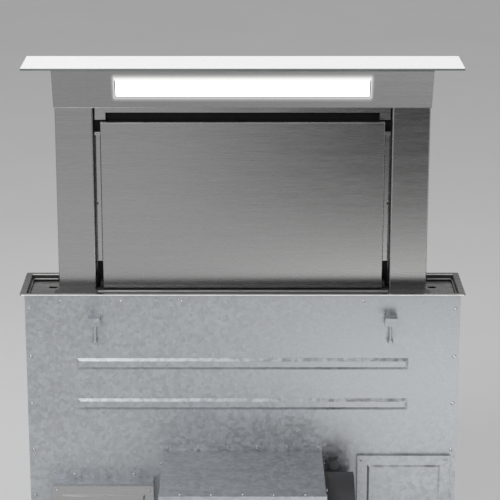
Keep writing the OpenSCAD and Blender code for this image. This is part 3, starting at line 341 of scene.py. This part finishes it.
# Nodes whose look differs from that of their slot
SPECIAL = {
    "head_shell": lit_rim(brushed("head_steel", grey(0.33)), 0.013, 0.65),
    "light_bezel": lit_top(ground("bezel_steel", grey(0.12), 0.3)),
    "filter_frames": ground("filter_rim", (0.58, 0.59, 0.6), 0.34),
    # The filter wall: black paint made darker still, painted shade of the recess behind the panel
    "filter_wall": coated("wall_paint_and_painted_shade", (0.006, 0.006, 0.007), 0.2),
    # The liner's steel a touch lighter than the sheet's: painted light on its strips in the gaps beside the
    # panel
    "recess_liner": brushed("liner_steel_painted_light", grey(0.50)),
    "panel_catches": brushed("catch_steel", grey(0.56)),
    "foot_plate": brushed("foot_steel", grey(0.14), 0.58),
}
GLASS_EDGE = moulded("glass_edge", (0.17, 0.2, 0.185), 0.2, 600, 0.02)
# Near-white metal: a painted highlight on the rail's cap
RAIL_PAINTED_HIGHLIGHT = ground("rail_painted_highlight", grey(0.92), 0.45)

# The flange's front edge is a nearly white line in the photo, which full metal leaves too dark
# A near-white, mostly dull metal: a painted highlight on the flange's edges and ledges
EDGE_PAINTED_HIGHLIGHT = ground("front_edge_painted_highlight", grey(0.92), 0.45)
EDGE_PAINTED_HIGHLIGHT.put("Metallic", 0.2)

for sub in frame["record"]["subparts"]:
    item = nodes[sub["node"]]
    dress = SPECIAL.get(sub["node"], LOOKS[sub["material_slot"]]).mat
    if not item.material_slots:
        item.data.materials.append(dress)
    for slot in item.material_slots:
        slot.material = dress


# Small forms for what the solids leave out

class Piece:
    """A mesh in the row frame, gathered from small forms given in millimetres."""

    def __init__(self):
        self.bm = bmesh.new()

    def take(self, part):
        mesh = bpy.data.meshes.new("part")
        part.to_mesh(mesh)
        part.free()
        self.bm.from_mesh(mesh)
        bpy.data.meshes.remove(mesh)

    def slab(self, lo, hi, edge=0.3):
        part = bmesh.new()
        bmesh.ops.create_cube(part, size=1.0)
        lo, hi = Vector(lo), Vector(hi)
        for v in part.verts:
            v.co = Vector([(lo[i] + hi[i]) / 2 + v.co[i] * (hi[i] - lo[i]) for i in range(3)]) * MM
        bmesh.ops.bevel(part, geom=part.edges[:], offset=edge * MM, segments=2, profile=0.6, affect="EDGES")
        self.take(part)

    def turned(self, base, axis, profile, steps=20):
        """Rings of (radius, height[, shape]) stacked along axis from base; the last ring is closed."""
        turn = Vector(axis).to_track_quat("Z", "Y").to_matrix()
        rings = []
        for entry in profile:
            r, h, shape = (*entry, "round")[:3]
            ring = []
            for k in range(steps):
                a = 2 * math.pi * k / steps
                if shape == "hex":
                    off = (a + math.pi / 6) % (math.pi / 3) - math.pi / 6
                    far = r * math.cos(math.pi / 6) / math.cos(off)
                elif shape == "cross":
                    c, s = abs(math.cos(a)) + 1e-9, abs(math.sin(a)) + 1e-9
                    w = 0.32 * r
                    far = max(min(r / c, w / s), min(w / c, r / s))
                else:
                    far = r
                ring.append(self.bm.verts.new((Vector(base) + turn @ Vector(
                    (far * math.cos(a), far * math.sin(a), h))) * MM))
            rings.append(ring)
        for low, high in zip(rings, rings[1:]):
            for k in range(steps):
                self.bm.faces.new((low[k], low[(k + 1) % steps], high[(k + 1) % steps], high[k]))
        self.bm.faces.new(rings[-1])

    def screw(self, base, axis, r=3.8):
        self.turned(base, axis, [(r, 0), (r, 0.5), (r * 0.93, 1.3), (r * 0.72, 1.9), (r * 0.6, 2.0),
                                 (r * 0.55, 2.0, "cross"), (r * 0.5, 0.9, "cross")], 24)

    def bolt(self, base, axis, r=4.6, h=3.4):
        self.turned(base, axis, [(r * 1.35, 0), (r * 1.35, 0.9), (r * 1.3, 1.0), (r, 1.0, "hex"),
                                 (r, h - 0.4, "hex"), (r * 0.93, h, "hex"), (r * 0.5, h)], 24)

    def rivet(self, base, axis, r=2.6):
        self.turned(base, axis, [(r, 0), (r * 0.94, 0.5), (r * 0.7, 0.95), (r * 0.42, 1.1),
                                 (r * 0.38, 0.6)], 14)

    def done(self, name, body, look, angle=35):
        mesh = bpy.data.meshes.new(name)
        bmesh.ops.recalc_face_normals(self.bm, faces=self.bm.faces[:])
        self.bm.to_mesh(mesh)
        self.bm.free()
        for face in mesh.polygons:
            face.use_smooth = True
        mesh.set_sharp_from_angle(angle=math.radians(angle))
        made = bpy.data.objects.new(name, mesh)
        for one in look if isinstance(look, (list, tuple)) else [look]:
            mesh.materials.append(one.mat)
        scene.collection.objects.link(made)
        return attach(made, body)


def ends(name):
    """A CAD node's box as (x0, y0, z0), (x1, y1, z1) in millimetres."""
    lo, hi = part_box(name)
    return lo / MM, hi / MM


# Lid: the pane with ground edges, which show the glass's own green

def lid_pane():
    lo, hi = ends("lid_glass")
    corner_r = 2.0
    white, edge = 0, 1      # the piece's material slots
    piece = Piece()

    def ring(inset, z):
        points = []
        for sx, sy, start in ((1, 1, 0), (-1, 1, 90), (-1, -1, 180), (1, -1, 270)):
            for k in range(6):
                a = math.radians(start + 18 * k)
                x = sx * (hi.x - corner_r) + (corner_r - inset) * math.cos(a)
                y = sy * (hi.y - corner_r) + (corner_r - inset) * math.sin(a)
                points.append(piece.bm.verts.new((x * MM, y * MM, z * MM)))
        return points

    levels = [ring(0.6, lo.z), ring(0.0, lo.z + 0.6), ring(0.0, hi.z - 0.5), ring(0.5, hi.z)]
    for low, high, slot in zip(levels, levels[1:], (edge, edge, white)):
        for k in range(len(low)):
            after = (k + 1) % len(low)
            piece.bm.faces.new((low[k], low[after], high[after], high[k])).material_index = slot
    piece.bm.faces.new(levels[-1]).material_index = white
    piece.bm.faces.new(levels[0]).material_index = edge
    made = piece.done("lid_pane", "tower", [LOOKS["white_glass"], GLASS_EDGE], 20)
    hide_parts("lid_glass")


lid_pane()


# Folds and lips of the tower's sheet

head_lo, head_hi = ends("head_shell")
column_lo, column_hi = ends("column_right")
liner_lo, liner_hi = ends("recess_liner")
catch_z = ends("panel_catches")[0].z
face_y, back_y = column_lo.y, column_hi.y
LIP_HALF = 0.45     # half the width of a lip beside the panel
lip_z = liner_lo.z + 4

# A lip along the head's lower edge, two on each side strip, and one in the dark gap beside it
lips = Piece()
lips.slab((head_lo.x, face_y - 0.5, head_lo.z - 0.1), (head_hi.x, face_y + 0.6, head_lo.z + 0.8), 0.3)
for side in (-1, 1):
    for x, low in ((liner_hi.x - 0.5, lip_z), (liner_hi.x - 9.0, lip_z), (liner_hi.x + 1.5, 2)):
        x0, x1 = sorted((side * (x - LIP_HALF), side * (x + LIP_HALF)))
        lips.slab((x0, -0.7, low), (x1, 1.6, catch_z - 1), 0.25)
lips.done("sheet_lips", "tower", LOOKS["brushed_stainless"])


# Cap on the foot plate's rail in near-white metal: a painted highlight line

plate_lo, plate_hi = ends("foot_plate")
rail_back = plate_lo.y + 22     # the strip in front of the air slot is 22 mm deep
rail_end = ends("back_panel")[1].x - 4
rail = Piece()
rail.slab((-rail_end - 0.2, rail_back - 1.8, plate_hi.z - 1.8),
          (rail_end + 0.2, rail_back + 0.2, plate_hi.z + 0.2), 0.4)
rail.done("rail_cap", "tower", RAIL_PAINTED_HIGHLIGHT)


# Edges on the flange and its ledges in near-white metal, a painted highlight, and black strips along the
# trays' backs, painted shade under the ledges

LEDGE_W = 4         # width of the seal's ledge
frame_lo, frame_hi = ends("trim_frame")
seal_hi = ends("frame_seal")[1]
tray_lo, tray_hi = ends("tray_right")
ledge_x, ledge_y = seal_hi.x - LEDGE_W, seal_hi.y - LEDGE_W
edge_top = frame_hi.z + 0.1
arris = Piece()
arris.slab((frame_lo.x + 3, frame_lo.y - 0.3, 0.2), (frame_hi.x - 3, frame_lo.y + 1.3, edge_top), 0.35)
arris.slab((-seal_hi.x, seal_hi.y - 0.6, frame_hi.z - 1.6), (seal_hi.x, seal_hi.y + 0.3, edge_top), 0.25)
tray_back_shade = Piece()
for side in (-1, 1):
    x0, x1 = sorted((side * (plate_hi.x + 2), side * (ledge_x - 0.4)))
    arris.slab((x0, ledge_y - 0.5, frame_lo.z), (x1, ledge_y + 0.2, frame_lo.z + 1.2), 0.25)
    # Black strips over the trays' rear walls under the ledge: painted shade
    x0, x1 = sorted((side * (tray_lo.x + 3), side * (seal_hi.x - 0.2)))
    tray_back_shade.slab((x0, seal_hi.y - 1.2, tray_lo.z + 1.6), (x1, seal_hi.y, tray_hi.z - 0.5), 0.4)
arris.done("flange_arris", "housing", EDGE_PAINTED_HIGHLIGHT)
tray_back_shade.done("tray_back_painted_shade", "housing", LOOKS["black_rubber"])


# Screws, rivets and bolts

SHEET = 1.5                         # thickness of the housing's sheet
RIVET_TOP = -14                     # height of the upper row of rivets
BLANK_X, BLANK_Z = -10, -522.2      # middle of the blanking plate, behind the blower wheel
BLANK_SCREWS = 104                  # radius of its screw circle
house_lo, house_hi = ends("housing_front")
box_hi = ends("blower_box")[1]
sheet_y = ends("housing_left")[1].y + SHEET
rivet_low = house_lo.z + 10
fasteners = Piece()
for x in (house_lo.x + 9, house_hi.x - 9):
    for z in range(-630, -20, 100):
        fasteners.screw((x, -sheet_y, z), (0, -1, 0))
        fasteners.screw((x, sheet_y, z), (0, 1, 0))
for x in range(-360, 361, 120):
    fasteners.rivet((x, -sheet_y, RIVET_TOP), (0, -1, 0))
    fasteners.rivet((x, sheet_y, RIVET_TOP), (0, 1, 0))
    if abs(x) > box_hi.x:   # the blower box covers the middle of the front
        fasteners.rivet((x, -sheet_y, rivet_low), (0, -1, 0))
    fasteners.rivet((x, sheet_y, rivet_low), (0, 1, 0))
for k in range(6):
    a = math.radians(60 * k)
    x, z = BLANK_X + BLANK_SCREWS * math.cos(a), BLANK_Z + BLANK_SCREWS * math.sin(a)
    fasteners.screw((x, sheet_y + SHEET, z), (0, 1, 0), 3.0)
for side in (-1, 1):
    for z in range(-620, -40, 116):
        for y in (-56, 56):
            fasteners.rivet((side * house_hi.x, y, z), (side, 0, 0))
fasteners.done("housing_fasteners", "housing", LOOKS["ground_steel"])

EMBOSS = 2          # the covers' raised panels stand this far over their rims
SPIGOT_FLANGE = 3   # thickness of the spigot's flange
SPIGOT_SCREWS = 75  # its screws lie this far from its middle, both ways
FLANGE_HALF = 5     # half the width of the blower box's flange
BRACKET_SHEET = 3   # thickness of the foot brackets
FOOT_INSET = 20     # from a foot bracket's edges to the middle of its levelling feet
cover_lo, cover_hi = ends("blower_cover")
control_lo, control_hi = ends("control_cover")
control_x = (control_lo.x + control_hi.x) / 2
service_lo, service_hi = ends("service_cover")
spigot_lo, spigot_hi = ends("duct_spigot")
spigot_middle = (spigot_lo + spigot_hi) / 2
stance_lo, stance_hi = ends("foot_brackets")
foot_x = stance_hi.x - FOOT_INSET
flange_y = -sheet_y - SHEET
screws = Piece()
for x in range(-120, 121, 60):
    screws.screw((x, cover_hi.y - 6, cover_hi.z), (0, 0, 1), 3.2)
for z in range(int(cover_lo.z) + 30, int(cover_hi.z) - 10, 70):
    for x, a in ((cover_lo.x, -1), (cover_hi.x, 1)):
        screws.screw((x, cover_hi.y - 6, z), (a, 0, 0), 3.2)
for lo, hi, inset in ((control_lo, control_hi, 9), (service_lo, service_hi, 8)):
    for x in (lo.x + inset, hi.x - inset):
        for z in (lo.z + inset, hi.z - inset):
            screws.screw((x, lo.y + EMBOSS, z), (0, -1, 0), 3.4)
for y in (spigot_middle.y - SPIGOT_SCREWS, spigot_middle.y + SPIGOT_SCREWS):
    for z in (spigot_middle.z - SPIGOT_SCREWS, spigot_middle.z + SPIGOT_SCREWS):
        screws.screw((spigot_lo.x + SPIGOT_FLANGE, y, z), (1, 0, 0), 3.6)
for x in (control_x - 60, control_x + 60):
    screws.screw((x, flange_y, control_hi.z + 5.5), (0, -1, 0), 3.4)
for x in (-152, -90, -30, 30, 90, 152):
    screws.screw((x, flange_y, box_hi.z - FLANGE_HALF), (0, -1, 0), 2.8)
for side in (-1, 1):
    for z in range(-600, -340, 80):
        screws.screw((side * (box_hi.x - FLANGE_HALF), flange_y, z), (0, -1, 0), 2.8)
for side in (-1, 1):
    for z in (house_lo.z + 12, house_lo.z + 28):
        screws.bolt((side * foot_x, -sheet_y - BRACKET_SHEET, z), (0, -1, 0))
screws.done("cover_screws", "housing", LOOKS["ground_steel"])

tower_screws = Piece()
for side in (-1, 1):
    for z in (30, 140, 250, 355):
        tower_screws.screw((side * (column_lo.x + 8), back_y, z), (0, 1, 0), 3.0)
for x in range(-300, 301, 120):
    tower_screws.screw((x, back_y, head_lo.z + 12), (0, 1, 0), 3.0)
tower_screws.done("tower_screws", "tower", LOOKS["ground_steel"])


# Rubber soles round the pads of the levelling feet, a tenth of a millimetre over the floor

sole_z = cad_box[0].z / MM + 0.1
soles = Piece()
for side in (-1, 1):
    for y in (stance_lo.y + FOOT_INSET, stance_hi.y - FOOT_INSET):
        soles.turned((side * foot_x, y, sole_z), (0, 0, 1),
                     [(15.2, 0), (15.6, 0.5), (15.4, 2.4), (14.6, 2.6)], 32)
soles.done("foot_soles", "housing", LOOKS["black_rubber"])


# Floor, light and surroundings

def plain(name, value, roughness=0.9):
    look = Look(name, (value, value, value * 1.01), roughness=roughness)
    look.tones(look.span(look.noise(look.place((1.5, 1.5, 1.5)), 1.0, 3.0), 0.0, 1.0), 0.985, 1.01)
    return look


def sheet_object(name, corners, look):
    mesh = bpy.data.meshes.new(name)
    mesh.from_pydata(corners, [], [(0, 1, 2, 3)])
    mesh.materials.append(look.mat)
    made = bpy.data.objects.new(name, mesh)
    scene.collection.objects.link(made)
    made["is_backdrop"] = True
    return made


REACH = 25      # the floor reaches this many metres out from the middle
floor_z = cad_box[0].z
sheet_object("floor", [(-REACH, -REACH, floor_z), (REACH, -REACH, floor_z), (REACH, REACH, floor_z),
                       (-REACH, REACH, floor_z)], plain("floor_paint", 0.76))


def glowing(name, **sockets):
    """A surface that only gives light."""
    return Look(name, (0, 0, 0), roughness=1.0, Emission_Color=(1, 1, 1, 1),
                Specular_IOR_Level=0.0, **sockets)


def graded_card():
    """A cloth that shades from pale near the floor to dark above, and fades out to the left."""
    look = glowing("card_cloth")
    place = look.node("ShaderNodeSeparateXYZ", {0: look.coord.outputs["Object"]}).outputs
    ramp = look.node("ShaderNodeValToRGB", {0: look.span(place[2], 0.0, 1.0, -0.69, 0.5)})
    stops = ramp.color_ramp.elements
    stops[0].position, stops[1].position = 0.26, 0.66
    stops[0].color, stops[1].color = (0.8, 0.8, 0.8, 1), (0, 0, 0, 1)
    for position, value in ((0.36, 0.275), (0.47, 0.045)):
        stops.new(position).color = (value, value, value, 1)
    look.to("Emission Strength", look.math("MULTIPLY", ramp.outputs[0], 2.0))
    look.to("Alpha", look.span(place[0], 0.0, 1.0, -0.2, 0.36))
    return look


def card(name, x0, x1, y, z0, z1, look):
    """A card that only reflections see."""
    made = sheet_object(name, [(x0, y, z0), (x1, y, z0), (x1, y, z1), (x0, y, z1)], look)
    made.visible_camera = False
    made.visible_diffuse = False
    made.visible_shadow = False


card("card_right", -0.2, 1.5, -1.1, -0.69, 0.6, graded_card())
card("card_low", -1.3, 1.3, -1.12, -0.41, -0.31, glowing("card_pale", Emission_Strength=0.8))
card("card_back", -1.5, 1.5, 1.2, 0.02, 0.56, glowing("card_dark", Emission_Strength=0.10))
card("card_sky", -1.5, 1.5, 1.2, 0.58, 1.1, glowing("card_white", Emission_Strength=0.82))


def lamp(name, place, target, width, height, power):
    data = bpy.data.lights.new(name, "AREA")
    data.shape = "RECTANGLE"
    data.size, data.size_y, data.energy = width, height, power
    made = bpy.data.objects.new(name, data)
    made.location = place
    made.rotation_euler = (Vector(target) - Vector(place)).to_track_quat("-Z", "Y").to_euler()
    scene.collection.objects.link(made)


lamp("key", (-1.7, -2.4, 2.3), (0, 0, 0), 1.8, 1.8, 62)
lamp("fill", (2.2, -1.6, 1.5), (0.2, 0, 0), 1.4, 1.4, 16)
lamp("top", (0, 0.9, 2.6), (0, 0.4, 0), 2.4, 1.4, 14)


# White light all round, and a grey backdrop where the camera, metal and glass look past the object

AMBIENT = ((1, 1, 1), 0.45)             # colour and strength
BACKDROP = ((0.5, 0.5, 0.505), 1.0)
world = bpy.data.worlds.new("studio")
world.use_nodes = True
scene.world = world
tree = world.node_tree
tree.nodes.clear()


def background(rgb, strength):
    made = tree.nodes.new("ShaderNodeBackground")
    made.inputs["Color"].default_value = (*rgb, 1)
    made.inputs["Strength"].default_value = strength
    return made.outputs[0]


def larger(a, b):
    made = tree.nodes.new("ShaderNodeMath")
    made.operation = "MAXIMUM"
    made.use_clamp = True
    for socket, value in zip(made.inputs, (a, b)):
        tree.links.new(value, socket)
    return made.outputs[0]


rays = tree.nodes.new("ShaderNodeLightPath").outputs
seen = larger(rays["Is Camera Ray"], larger(rays["Is Glossy Ray"], rays["Is Transmission Ray"]))
mix = tree.nodes.new("ShaderNodeMixShader")
for socket, value in zip(mix.inputs, (seen, background(*AMBIENT), background(*BACKDROP))):
    tree.links.new(value, socket)
tree.links.new(mix.outputs[0], tree.nodes.new("ShaderNodeOutputWorld").inputs[0])

scene.view_settings.view_transform = "Standard"

lo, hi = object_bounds()
